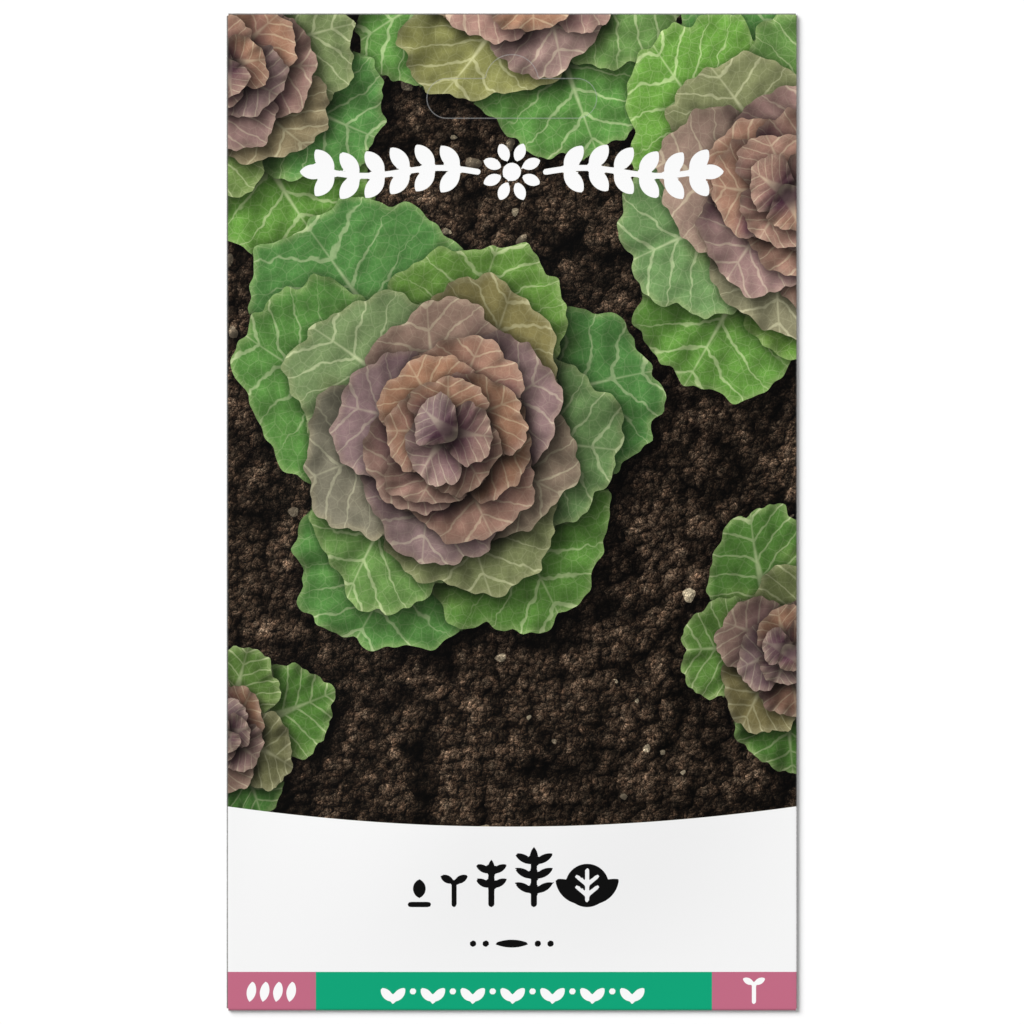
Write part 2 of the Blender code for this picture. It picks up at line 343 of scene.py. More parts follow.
# How a leaf looks, at the outside of a cabbage and in its heart
LEAF_LOOKS = {
    "blade": (ink(88, 136, 64), ink(142, 112, 104)),
    "heart": (ink(132, 152, 86), ink(92, 58, 74)),
    "margin": (ink(160, 180, 118), ink(176, 152, 134)),
    "ruffle": (1.0, 0.9),
    "drop": (2.6, 1.5),
    "veins": (7.5, 6.0),
    "cup": (0.35, 0.9),
    "arch": (0.22, 0.1),
    "folds": (9.0, 7.0),
    "fold_height": (1.3, 0.8),
    "deep": (0.32, 0.36),
    "turn": (0.35, 0.55),
    "contrast": (1.0, 0.7),
}


def leaf_look(share):
    """The look at this share of the way in, from 0 at the outside to 1 in the heart."""
    return {key: outer * (1 - share) + heart * share for key, (outer, heart) in LEAF_LOOKS.items()}


def rosette(design, centre, radius, count, brightness, seed):
    """A cabbage from above: broad green leaves outside, and ever smaller mauve ones towards its heart."""
    draw = random.Random(seed)
    for n in range(count):
        share = n / (count - 1)
        angle = GOLDEN_ANGLE * n + draw.uniform(-0.15, 0.15) + seed
        length = radius * (1 - 0.80 * share**0.85) * draw.uniform(0.94, 1.05)
        width = length * (0.86 + 0.32 * share)
        look = leaf_look(smooth(share, 0.12, 0.52))
        look["drop"] *= 0.35 + 0.65 * radius / 46
        warmth = draw.uniform(-0.09, 0.15)
        tone = draw.uniform(0.85, 1.12) * brightness
        look["blade"] = look["blade"] * (1 + warmth, 1, 1 - 2 * warmth) * tone
        back = length * 0.22 * share
        base = (centre[0] - back * math.cos(angle), centre[1] - back * math.sin(angle))
        leaf(design, base, angle, length, width, look, draw)


def lumps(design, count, sizes, tones, kind, seed):
    """Clods or stones that lie on the soil, each with its shadow."""
    draw = random.Random(seed)
    for _ in range(count):
        x, y = draw.uniform(-55, 55), draw.uniform(-64, 95)
        size = sizes[0] + (sizes[1] - sizes[0]) * draw.random() ** 2
        reach = size * 2.2
        window, s, t = design.window(x - reach, x + reach, y - reach, y + reach)
        u, v = turned(s - x, t - y, draw.uniform(0, TAU))
        v = v * draw.uniform(1.1, 1.6)
        heading, wobble = np.arctan2(v, u), 1.0
        for waves, depth in ((2, 0.08), (3, 0.10), (5, 0.05)):
            wobble = wobble + depth * np.sin(waves * heading + draw.uniform(0, TAU))
        radius = np.hypot(u, v) / wobble
        shadow = np.hypot(s - x - 0.28 * size, t - y + 0.28 * size) - size
        design.dim(window, 0.25 + 0.75 * smooth(shadow, -0.4 * size, 0.35 * size))
        relief = 0.75 * np.sqrt(np.clip(size**2 - radius**2, 0.02, None))
        share = draw.random()
        tone = tones[0] * (1 - share) + tones[1] * share
        design.paint(window, radius - size, coat_of(tone * lit(relief, s, t)[..., None], kind))


def picture(design):
    """The full-bleed picture: cabbages seen from above on dark, crumbly soil."""
    draw = random.Random(3)
    window, s, t = design.window(-60, 60, -64, 100)
    patches = (1 + 0.22 * ripple(s, t, 34.0, draw) + 0.14 * ripple(s, t, 9.0, draw))[..., None]
    design.paint(window, -np.ones_like(s), coat_of(SOIL_BROWN * patches, SOIL))
    lumps(design, 260, (1.6, 6.5), (SOIL_BROWN * 0.8, SOIL_BROWN * 1.35), SOIL, 29)
    lumps(design, 60, (0.5, 1.7), (ink(84, 70, 60), ink(150, 132, 112)), SOIL + 0.5, 11)
    for centre, radius, leaves, brightness, seed in ROSETTES:
        rosette(design, centre, radius, leaves, brightness, seed)


# Shapes for the ornaments, each a function of s and t to a distance


def disc(x, y, radius):
    return lambda s, t: np.hypot(s - x, t - y) - radius


def stroke(x0, y0, x1, y1, width):
    """A line with round ends."""

    def distance(s, t):
        run = (x1 - x0) ** 2 + (y1 - y0) ** 2
        share = np.clip(((s - x0) * (x1 - x0) + (t - y0) * (y1 - y0)) / run, 0, 1)
        return np.hypot(s - x0 - share * (x1 - x0), t - y0 - share * (y1 - y0)) - width / 2

    return distance


def blade(x, y, heading, length, width):
    """A leaf with two pointed ends, from its base at x, y."""
    bow = (length**2 / 4 + (width / 2) ** 2) / width
    angle = math.radians(heading)

    def distance(s, t):
        u, v = turned(s - x, t - y, angle)
        u = u - length / 2
        return np.maximum(np.hypot(u, v - bow + width / 2), np.hypot(u, v + bow - width / 2)) - bow

    return distance


def slab(x0, x1, y0, y1, rounding=0.0):
    """A rectangle, with round corners if asked."""

    def distance(s, t):
        dx = np.abs(s - (x0 + x1) / 2) - (x1 - x0) / 2 + rounding
        dy = np.abs(t - (y0 + y1) / 2) - (y1 - y0) / 2 + rounding
        outside = np.hypot(np.clip(dx, 0, None), np.clip(dy, 0, None))
        return outside + np.minimum(np.maximum(dx, dy), 0) - rounding

    return distance


def together(shapes):
    return lambda s, t: np.minimum.reduce([shape(s, t) for shape in shapes])


# For each number of leaf pairs: a leaf's length and width and the spacing of pairs, as shares of the height
SPROUT_LEAVES = {1: (0.46, 0.23, 0.0), 2: (0.37, 0.155, 0.30), 3: (0.36, 0.13, 0.24)}


def sprout(x, y, size, pairs):
    """A stem with pairs of leaves, and one leaf on top where there are more pairs, standing at x, y."""
    bold = min(1.15, size * 0.15)
    shapes = [stroke(x, y + bold / 2, x, y + size * 0.72, bold)]
    length, width, spacing = SPROUT_LEAVES[pairs]
    for n in range(pairs):
        level = y + size * (0.72 - spacing * n)
        for side in (28, 152):
            shapes.append(blade(x, level, side, size * length, size * width))
    if pairs > 1:
        shapes.append(blade(x, y + size * 0.68, 90, size * 0.32, size * 0.13))
    return together(shapes)


def flower(x, y, size, petals, eye=0.16):
    shapes = [disc(x, y, size * eye)]
    for n in range(petals):
        heading = 360 * (n + 0.5) / petals
        place = size * 0.2
        dx, dy = place * math.cos(math.radians(heading)), place * math.sin(math.radians(heading))
        shapes.append(blade(x + dx, y + dy, heading, size * 0.34, size * 0.2))
    return together(shapes)


def garland(y, half, height):
    """A leafy branch that runs both ways from a flower."""
    shapes = [flower(0, y, height, 8)]
    tip, branch = 5.2, 1.1
    xs = np.linspace(height * 0.6, half - tip, GARLAND_STEPS)
    ys = y + height * 0.07 * np.sin(np.linspace(0, TAU, GARLAND_STEPS))
    for side in (-1, 1):
        for n in range(GARLAND_STEPS - 1):
            shapes.append(stroke(side * xs[n], ys[n], side * xs[n + 1], ys[n + 1], branch))
        for n in range(3, GARLAND_STEPS, 4):
            for up in (-1, 1):
                heading = (52 if side > 0 else 128) * up
                shapes.append(blade(side * xs[n], ys[n], heading, height * 0.52, height * 0.28))
        shapes.append(blade(side * xs[-1], ys[-1], 0 if side > 0 else 180, tip, 2.8))
    return together(shapes)


def label(design):
    """The pale label under the picture, and the coloured band along the bottom edge."""
    half, low = WIDTH / 2 + 1, -HEIGHT / 2 - 3
    centre = LABEL_MIDDLE + LABEL_ARC_RADIUS

    def below_arc(s, t):
        return LABEL_ARC_RADIUS - np.hypot(s, t - centre)

    design.fill((-half, half, low, LABEL_MIDDLE + 6), below_arc, PANEL)
    band = low, BAND_TOP
    top = BAND_TOP + PAST_LINE
    design.fill((-half, half, *band), slab(-half - 9, half + 9, low - 9, top), PINK)
    green = slab(BAND_LEFT - PAST_LINE, BAND_RIGHT + PAST_LINE, low - 9, top)
    design.fill((BAND_LEFT, BAND_RIGHT, *band), green, GREEN)


def ornaments(design):
    """Generic devices: a white garland, black pictures of a plant's growth, and white ones in the band."""
    design.fill((-42, 42, 56, 72), garland(64.1, 40.0, 10.7), WHITE)

    def column(x, further=0):
        """The lattice's column nearest to x, or one further on: shapes with their middles there are even."""
        return design.s[np.abs(design.s - x).argmin() + further]

    ground, head = -74.4, column(14.4)
    sprouts = ((-11.0, 6.4, 1), (-4.0, 9.0, 2), (4.0, 11.4, 3))
    stages = [
        blade(-17.4, ground + 1.7, 90, 3.6, 2.4),
        stroke(-19.1, ground + 0.5, -15.7, ground + 0.5, 1.0),
        *(sprout(column(x), ground, size, pairs) for x, size, pairs in sprouts),
        disc(head, ground + 4.1, 4.1),
        blade(head, ground + 0.6, 38, 7.6, 3.4),
        blade(head, ground + 0.6, 142, 7.6, 3.4),
    ]
    design.fill((-24, 26, -76, -60), together(stages), BLACK)
    ribs = [stroke(head, ground + 1.3, head, ground + 7.0, 0.75)]
    for side in (-1, 1):
        ribs += [stroke(head, ground + y, head + side * 1.9, ground + y + 1.6, 0.7) for y in (2.2, 4.2)]
    design.fill((10, 19, -75, -66), together(ribs), PANEL)
    dots = [disc(x, -81.3, 0.62) for x in (-7.3, -4.9, 4.9, 7.3)]
    design.fill((-9, 9, -84, -79), together([blade(-3.4, -81.3, 0, 6.8, 1.5), *dots]), BLACK)

    middle = (BAND_TOP - HEIGHT / 2) / 2
    seeds = [blade(column(-49.4, n), middle - 2.0, 80, 4.0, 1.75) for n in (0, 5, 10, 15)]
    design.fill((-52, -38, -94, BAND_TOP), together(seeds), WHITE)
    row, centre, spacing = [], column(0), column(0, 15) - column(0)
    for n in range(-6, 7):
        x = centre + n / 2 * spacing
        if n % 2:
            row.append(disc(x, middle, 0.6))
        else:
            row += [blade(x, middle - 1.9, side, 3.4, 1.7) for side in (48, 132)]
            row.append(stroke(x, middle - 2.0, x, middle - 0.9, 0.7))
    design.fill((-30, 30, -94, BAND_TOP), together(row), WHITE)
    design.fill((40, 52, -94, BAND_TOP), sprout(column(45.7), middle - 2.4, 5.2, 1), WHITE)


def back_design(design):
    """The plain back: a sowing calendar of coloured bars, and how far apart the plants stand."""
    edge_s, edge_t = WIDTH / 2 + LEFT_RADIUS / 2, HEIGHT / 2 + END_RADIUS / 2
    window, s, t = design.window(design.s[0], design.s[-1], design.t[0], design.t[-1])
    ground = np.minimum(edge_s - np.abs(s), edge_t - np.abs(t))
    design.paint(window, ground, coat_of(np.broadcast_to(PANEL, s.shape + (3,)), INK))
    middle = 2 * LEFT - math.pi * LEFT_RADIUS

    def on_back(x0, x1, y0, y1, shape, colour):
        design.fill((middle + x0, middle + x1, y0, y1), lambda s, t: shape(s - middle, t), colour)

    top, low = CALENDAR_TOP, CALENDAR_TOP - CALENDAR_HEIGHT
    for x in MONTH_LINES:
        half = MONTH_STROKE / 2 + 0.02
        on_back(x - 1, x + 1, low - 1, top + 1, slab(x - half, x + half, low, top), ink(186, 188, 184))
    bars = ((2.5, 5.5, GREEN), (4.5, 7.5, PINK), (8.5, 11.5, ink(112, 66, 92)))
    for n, (first, last, colour) in enumerate(bars):
        y = top - 6.5 - 10 * n
        x0, x1 = (MONTH_LINES[0] + month * MONTH_WIDTH for month in (first, last))
        on_back(x0 - 1, x1 + 1, y - 4, y + 4, slab(x0, x1, y - 2.499, y + 2.499, 1.4), colour)
    shapes = [flower(x, 26, 17, 6, eye=0.11) for x in (-30, 0, 30)]
    shapes += [stroke(x - 12, 10, x + 12, 10, 1.8) for x in (-15, 15)]
    shapes += [disc(x, 10, 1.5) for x in (-30, 0, 30)]
    on_back(-45, 45, 6, 38, together(shapes), ink(58, 96, 66))
    on_back(-54, 53.6, -94, -60, slab(-54, 53.2, -94, -72), GREEN)


# The folded sheet


def pillow(x, y):
    """How far the pouch lifts the front panel, with the faint waves of real paper."""
    across = smooth(WIDTH / 2 - np.abs(x), 0, SIDE_RAMP)
    along = smooth(y + HEIGHT / 2, 0, BOTTOM_RAMP) * smooth(HEIGHT / 2 - TOP_FLAP - y, 0, TOP_RAMP)
    draw = random.Random(17)
    waves = WAVE_HEIGHT * (ripple(x, y, WAVE_SIZE, draw) - 1)
    return (PILLOW_RISE + waves) * across * along


def turns(start, end):
    """The angles of a fold, without its two ends."""
    return np.linspace(math.radians(start), math.radians(end), FOLD_STEPS + 1)[1:-1]


def sheet_columns():
    """The sheet's path round the body, from the back panel's free edge to the side flap's.

    Each column has x, z, the outward direction in x and z, and its place s on the unfolded sheet.
    """
    rows = []
    left_arc, right_arc = math.pi * LEFT_RADIUS, math.pi * RIGHT_RADIUS
    months = [x + side for x in MONTH_LINES[::-1] for side in (MONTH_STROKE / 2, -MONTH_STROKE / 2)]
    lines = (WIDTH / 2 - BACK_EDGE_MARGIN, *months, LEFT)
    for x in joined_steps(lines, [BACK_CELL] + [MONTH_STROKE, BACK_CELL] * len(MONTH_LINES)):
        rows.append((x, BACK_LEVEL, 0, -1, LEFT - left_arc - (x - LEFT), False))
    for angle in turns(270, 90):
        out = math.cos(angle), math.sin(angle)
        place = LEFT - left_arc * (angle - math.pi / 2) / math.pi
        middle = FRONT_LEVEL - LEFT_RADIUS
        rows.append((LEFT + LEFT_RADIUS * out[0], middle + LEFT_RADIUS * out[1], *out, place, False))
    for x in joined_steps((LEFT, BAND_LEFT, BAND_RIGHT, RIGHT), (CELL, CELL, CELL)):
        rows.append((x, FRONT_LEVEL, 0, 1, x, True))
    for angle in turns(90, -90):
        out = math.cos(angle), math.sin(angle)
        place = RIGHT + right_arc * (math.pi / 2 - angle) / math.pi
        middle = FRONT_LEVEL - RIGHT_RADIUS
        rows.append((RIGHT + RIGHT_RADIUS * out[0], middle + RIGHT_RADIUS * out[1], *out, place, False))
    for x in np.linspace(RIGHT, WIDTH / 2 - SIDE_FLAP, SIDE_FLAP_COLUMNS):
        rows.append((x, SIDE_FLAP_LEVEL, 0, -1, RIGHT + right_arc + RIGHT - x, False))
    return np.array(rows, float)


def sheet_rows():
    """The front panel's path from the bottom flap's free edge to the top flap's.

    Each row has y, z above the surface for a fold or a flap, the outward direction in y and z, the share of
    the flap's depth, whether it is in the body, and its place t on the unfolded sheet.
    """
    arc, middle = math.pi * END_RADIUS, FRONT_LEVEL - END_RADIUS

    def end_rows(side, depth):
        rows = []
        for share in np.linspace(1, 0, FLAP_ROWS):
            deep = depth * share
            rows.append((side * (END - deep), FLAP_LEVEL, 0, -1, share, False, side * (END + arc + deep)))
        for angle in turns(-90, 90):
            out = side * math.cos(angle), math.sin(angle)
            place = side * (END + arc * (math.pi / 2 - angle) / math.pi)
            y, z = side * END + END_RADIUS * out[0], middle + END_RADIUS * out[1]
            rows.append((y, z, *out, 0, False, place))
        return rows

    lines = (-END, BAND_TOP, *LABEL_ROWS, *GARLAND_ROWS, END)
    cells = (BAND_CELL, FINE_CELL, FINE_CELL, CELL, FINE_CELL, CELL)
    body = [(y, 0, 0, 1, 0, True, y) for y in joined_steps(lines, cells)]
    return np.array(end_rows(-1, BOTTOM_FLAP) + body + end_rows(1, TOP_FLAP)[::-1], float)


def fold_sheet(columns, rows):
    """The outer and inner points of the folded sheet, and which lattice points it has."""
    x, z, out_x, out_z, _, front = (value[:, None] for value in columns.T)
    y, z_end, out_y, out_up, share, body, _ = (value[None, :] for value in rows.T)
    taper = 1 - share * FLAP_TAPER / (WIDTH / 2)
    everywhere = np.ones((len(columns), len(rows)))
    level = np.where(body, z + pillow(x * everywhere, y * everywhere) * front, z_end)
    place = np.stack([x * taper * everywhere, y * everywhere, level], axis=-1)
    outward = (out_x * everywhere, 0), (0, out_y * everywhere), (out_z * everywhere, out_up)
    half = PAPER / 2 * np.stack([np.where(body, *pair) for pair in outward], axis=-1)
    return (place + half) * MM, (place - half) * MM, (body + front) > 0


def slot_distance(s, t):
    """Signed distance to the hanging slot's outline."""
    low = np.hypot(s - np.clip(s, -SLOT_REACH, SLOT_REACH), t - SLOT_MIDDLE) - SLOT_HEIGHT / 2
    rise = np.hypot(s, t - (SLOT_TOP - SLOT_RISE_RADIUS)) - SLOT_RISE_RADIUS
    return np.minimum(low, rise)


# Meshes


def add_object(name, data):
    thing = bpy.data.objects.new(name, data)
    bpy.context.scene.collection.objects.link(thing)
    return thing


class Atlas:
    """Where each cell lies on its piece's texture: the front large, the back above it, and thin bands."""

    def __init__(self, s, t):
        self.split = int(np.searchsorted(s, LEFT - CELL / 100))
        self.back, self.front = self.spread(s[: self.split + 1], 1.0), self.spread(s[self.split :], 1.0)
        self.along = self.spread(t, np.where(np.abs(t[1:]) > HEIGHT / 2 + 1, 0.4, 1.0))

    def spread(self, lines, weights):
        run = np.concatenate([[0.0], np.cumsum(np.diff(lines) * weights)])
        return run / max(run[-1], 1.0)

    def skin(self, cells, turn, inner):
        """The texture places of the cells' corners, in this turn of them, for the outer or inner skin."""
        i, j = np.nonzero(cells)
        back = i < self.split
        places = []
        for di, dj in turn:
            across = self.front[np.clip(i + di - self.split, 0, len(self.front) - 1)]
            across = np.where(back, self.back[np.clip(i + di, 0, len(self.back) - 1)], across)
            spans = (BACK_INSIDE, FRONT_INSIDE) if inner else (BACK_ALONG, FRONT_ALONG)
            along = np.where(back, *(start + length * self.along[j + dj] for start, length in spans))
            places.append(np.stack([ACROSS[0] + ACROSS[1] * across, along], axis=-1))
        return np.stack(places, axis=1), back

    def rim(self, cells, side):
        """The texture places of the cut edges on one side of these cells."""
        a, b = CORNERS[side], CORNERS[(side + 1) % 4]
        place, back = self.skin(cells, (b, a, a, b), False)
        depth = np.array((0.0, 0.0, RIM_DEPTH, RIM_DEPTH))
        if side in (1, 3):
            place[..., 0] = (RIGHT_RIM if side == 1 else LEFT_RIM) + depth
        else:
            place[..., 1] = LOW_RIM + RIM_STEP * (side == 2) + BACK_RIM_STEP * back[:, None] + depth
        return place


def set_layer(mesh, name, kind, field, values):
    layer = mesh.attributes.new(name, kind, "CORNER")
    layer.data.foreach_set(field, np.ascontiguousarray(values, np.float32).ravel())


def lattice_solid(name, outer, inner, cells, design, places, materials):
    """A closed solid between two lattices of points.

    The materials are the outer side's, the inner side's and the edges'.
    """
    ni, nj = cells.shape
    used = np.zeros((ni + 1, nj + 1), bool)
    for i, j in CORNERS:
        used[i : i + ni, j : j + nj] |= cells
    index = np.full(used.shape, -1)
    count = used.sum()
    index[used] = np.arange(count)
    ring_of = [index[i : i + ni, j : j + nj] for i, j in CORNERS]
    top = np.stack([corner[cells] for corner in ring_of], axis=1)
    faces = [top, top[:, ::-1] + count]
    lines = [axis[part.start : part.stop + 1] for axis, part in zip((design.s, design.t), places)]
    atlas = Atlas(*lines)
    maps = [atlas.skin(cells, CORNERS, False)[0], atlas.skin(cells, CORNERS[::-1], True)[0]]
    around = np.pad(cells, 1)
    beside = (around[1:-1, :-2], around[2:, 1:-1], around[1:-1, 2:], around[:-2, 1:-1])
    for side, neighbour in enumerate(beside):
        border = cells & ~neighbour
        a, b = ring_of[side][border], ring_of[(side + 1) % 4][border]
        faces.append(np.stack([b, a, a + count, b + count], axis=1))
        maps.append(atlas.rim(border, side))
    faces = np.concatenate(faces)

    mesh = bpy.data.meshes.new(name)
    points = np.concatenate([outer[used], inner[used]])
    mesh.vertices.add(len(points))
    mesh.vertices.foreach_set("co", points.astype(np.float32).ravel())
    mesh.loops.add(faces.size)
    mesh.loops.foreach_set("vertex_index", faces.astype(np.int32).ravel())
    mesh.polygons.add(len(faces))
    mesh.polygons.foreach_set("loop_start", np.arange(0, faces.size, 4, dtype=np.int32))
    slots = list(dict.fromkeys(materials))
    counts = (len(top), len(top), len(faces) - 2 * len(top))
    kinds = np.repeat([slots.index(material) for material in materials], counts)
    mesh.polygons.foreach_set("material_index", kinds.astype(np.int32))
    mesh.update(calc_edges=True)
    texture = mesh.uv_layers.new(name="OFBake")
    texture.uv.foreach_set("vector", np.concatenate(maps).astype(np.float32).ravel())

    bare = np.zeros((len(faces) - len(top), 4, 7))
    bare[..., :4] = (*PANEL, INK)
    for layer, coat in (("over", design.over), ("under", design.under)):
        values = np.concatenate([coat[places][cells], bare])
        set_layer(mesh, layer, "FLOAT_COLOR", "color", values[..., :4])
        set_layer(mesh, "veins_" + layer, "FLOAT_VECTOR", "vector", values[..., 4:])
    edge = np.concatenate([design.edge[places][cells], bare[..., 0] - 1])
    slot = corners(slot_distance(*np.meshgrid(*lines, indexing="ij")))[cells]
    set_layer(mesh, "edge", "FLOAT", "value", edge)
    set_layer(mesh, "slot", "FLOAT", "value", np.concatenate([slot, bare[..., 0] + 9]))
    for material in slots:
        mesh.materials.append(material)
    return add_object(name, mesh)


def slot_prism(grow, low, high, material):
    """A prism on the slot's outline, moved outward by grow."""
    radius = SLOT_HEIGHT / 2 + grow
    rise, centre = SLOT_RISE_RADIUS + grow, SLOT_TOP - SLOT_RISE_RADIUS
    start = math.asin((SLOT_MIDDLE + radius - centre) / rise)
    outline = []
    for x, y, r, first, last in (
        (SLOT_REACH, SLOT_MIDDLE, radius, -math.pi / 2, math.pi / 2),
        (0, centre, rise, start, math.pi - start),
        (-SLOT_REACH, SLOT_MIDDLE, radius, math.pi / 2, 3 * math.pi / 2),
    ):
        for angle in np.linspace(first, last, 33):
            outline.append((x + r * math.cos(angle), y + r * math.sin(angle)))
    n = len(outline)
    points = [(x * MM, y * MM, z * MM) for z in (low, high) for x, y in outline]
    faces = [tuple(range(n))[::-1], tuple(range(n, 2 * n))]
    faces += [(k, (k + 1) % n, n + (k + 1) % n, n + k) for k in range(n)]
    mesh = bpy.data.meshes.new("slot_prism")
    mesh.from_pydata(points, [], faces)
    texture = mesh.uv_layers.new(name="OFBake")
    for face in mesh.polygons[2:]:
        for corner, (across, along) in zip(face.loop_indices, CORNERS):
            round_it = ACROSS[0] + ACROSS[1] * (face.index - 2 + across) / n
            texture.uv[corner].vector = (round_it, SLOT_RIM + SLOT_RIM_DEPTH * along)
    mesh.materials.append(material)
    return add_object("slot_prism", mesh)


def combine(piece, cutter, operation):
    """Applies a Boolean and removes the cutter."""
    cut = piece.modifiers.new("cut", "BOOLEAN")
    cut.operation = operation
    cut.object = cutter
    cut.solver = "EXACT"
    cut.material_mode = "TRANSFER"
    bpy.context.view_layer.update()
    graph = bpy.context.evaluated_depsgraph_get()
    mesh = bpy.data.meshes.new_from_object(piece.evaluated_get(graph))
    piece.modifiers.clear()
    piece.data = mesh
    bpy.data.objects.remove(cutter)


def finish_piece(piece, *replaced, slot):
    piece.data.shade_smooth()
    piece.data.set_sharp_from_angle(angle=math.radians(35))
    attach(piece, "root")
    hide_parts(*replaced)


# Materials


class Nodes:
    """A short way to write node trees."""

    def __init__(self, tree):
        self.tree = tree

    def add(self, kind, **settings):
        node = self.tree.nodes.new(kind)
        for name, value in settings.items():
            setattr(node, name, value)
        return node

    def link(self, value, socket):
        if isinstance(value, bpy.types.NodeSocket):
            self.tree.links.new(value, socket)
        elif value is not None:
            socket.default_value = value

    def feed(self, node, sockets, values):
        for socket, value in zip(sockets, values):
            self.link(value, node.inputs[socket])

    def math(self, operation, a, b=None, c=None, clamp=False):
        node = self.add("ShaderNodeMath", operation=operation, use_clamp=clamp)
        self.feed(node, (0, 1, 2), (a, b, c))
        return node.outputs[0]

    def vector(self, operation, a, b=None, scale=None):
        node = self.add("ShaderNodeVectorMath", operation=operation)
        if operation == "SCALE":
            self.feed(node, (0, "Scale"), (a, scale))
        else:
            self.feed(node, (0, 1), (a, b))
        return node.outputs["Value" if operation == "DOT_PRODUCT" else "Vector"]

    def split(self, vector):
        node = self.add("ShaderNodeSeparateXYZ")
        self.link(vector, node.inputs[0])
        return node.outputs

    def band(self, value, low, high, to_low=0.0, to_high=1.0):
        """Goes smoothly from to_low, where the value is low, to to_high, where it is high."""
        node = self.add("ShaderNodeMapRange", interpolation_type="SMOOTHSTEP")
        sockets = ("Value", "From Min", "From Max", "To Min", "To Max")
        self.feed(node, sockets, (value, low, high, to_low, to_high))
        return node.outputs[0]

    def mix(self, share, a, b, kind="RGBA"):
        node = self.add("ShaderNodeMix", data_type=kind)
        first, output = {"FLOAT": (2, 0), "VECTOR": (4, 1), "RGBA": (6, 2)}[kind]
        self.feed(node, (0, first, first + 1), (share, a, b))
        return node.outputs[output]

    def noise(self, place, scale, detail=2.0, roughness=0.5, output="Fac"):
        node = self.add("ShaderNodeTexNoise", noise_dimensions="2D")
        self.feed(node, ("Vector", "Scale", "Detail", "Roughness"), (place, scale, detail, roughness))
        return node.outputs[output]

    def cells(self, place, scale, feature="F1"):
        node = self.add("ShaderNodeTexVoronoi", feature=feature, voronoi_dimensions="2D")
        self.feed(node, ("Vector", "Scale"), (place, scale))
        return node.outputs

    def net(self, place, scale):
        return self.cells(place, scale, "DISTANCE_TO_EDGE")["Distance"]

    def bump(self, shader, strength, distance, height):
        node = self.add("ShaderNodeBump")
        self.feed(node, ("Strength", "Distance", "Height"), (strength, distance, height))
        self.link(node.outputs["Normal"], shader.inputs["Normal"])

    def attribute(self, name, output="Color"):
        return self.add("ShaderNodeAttribute", attribute_name=name).outputs[output]

    def places(self):
        """The object's own coordinates, in millimetres."""
        return self.vector("SCALE", self.add("ShaderNodeTexCoord").outputs["Object"], scale=1 / MM)


def new_material(name):
    material = bpy.data.materials.new(name)
    material.use_nodes = True
    nodes = Nodes(material.node_tree)
    return material, nodes, material.node_tree.nodes["Principled BSDF"]


def rgba(colour):
    return (*colour, 1.0)


def soil_light(nodes, place):
    """How bright each bit of the soil is: crumbs of four sizes in the picture's sunlight, and dark gaps."""
    warp = nodes.noise(place, 0.5, 3.0, output="Color")
    place = nodes.vector("ADD", place, nodes.vector("SCALE", warp, scale=SOIL_WARP))
    light = nodes.math("MULTIPLY_ADD", nodes.noise(place, 0.16, 3.0, 0.6), 1.5, 0.2)
    toward_sun = (float(SUN[0]), float(SUN[1]), 0.0)
    for size, relief, gap in SOIL_CRUMBS:
        crumb = nodes.cells(place, 1 / size)
        away = nodes.vector("SUBTRACT", place, crumb["Position"])
        facing = nodes.vector("DOT_PRODUCT", away, toward_sun)
        facing = nodes.math("MULTIPLY_ADD", facing, relief / size, 1.0)
        tone = nodes.band(crumb["Color"], 0.0, 1.0, 1 - gap / 2, 1 + gap / 2)
        shade = nodes.math("MULTIPLY", tone, nodes.band(crumb["Distance"], 0.30, 0.80, 1.0, 1 - gap))
        shade = nodes.math("MULTIPLY", shade, nodes.math("MAXIMUM", facing, 0.1))
        light = nodes.math("MULTIPLY", light, shade)
    grain = nodes.band(nodes.noise(place, 4.2, 3.0, 0.8), 0.34, 0.70, 0.35, 1.95)
    return nodes.math("MULTIPLY", light, grain)


def leaf_veins(nodes, place, veins):
    """How much of a vein is at this place, from 0 to 1: a midrib, side veins, and two nets of fine ones."""
    across, phase, along = nodes.split(veins)
    away = nodes.math("ABSOLUTE", across)
    half = nodes.band(along, -0.1, 0.95, 1.9, 0.10)
    midrib = nodes.band(nodes.math("SUBTRACT", away, half), -0.35, 0.25, 1.0, 0.0)
    wobble = nodes.math("MULTIPLY_ADD", nodes.noise(place, 0.3, 2.0), 0.5, -0.25)
    turn = nodes.math("FRACT", nodes.math("ADD", phase, wobble))
    side = nodes.math("SUBTRACT", 0.5, nodes.math("ABSOLUTE", nodes.math("SUBTRACT", turn, 0.5)))
    breadth = nodes.band(away, 0.0, 16.0, 0.085, 0.02)
    branch = nodes.band(nodes.math("SUBTRACT", side, breadth), -0.04, 0.012, 0.75, 0.0)
    coarse = nodes.band(nodes.net(place, 0.42), 0.010, 0.06, 0.24, 0.0)
    fine = nodes.band(nodes.net(place, 1.05), 0.02, 0.11, 0.12, 0.0)
    return nodes.math("MAXIMUM", nodes.math("MAXIMUM", midrib, branch), nodes.math("MAXIMUM", coarse, fine))


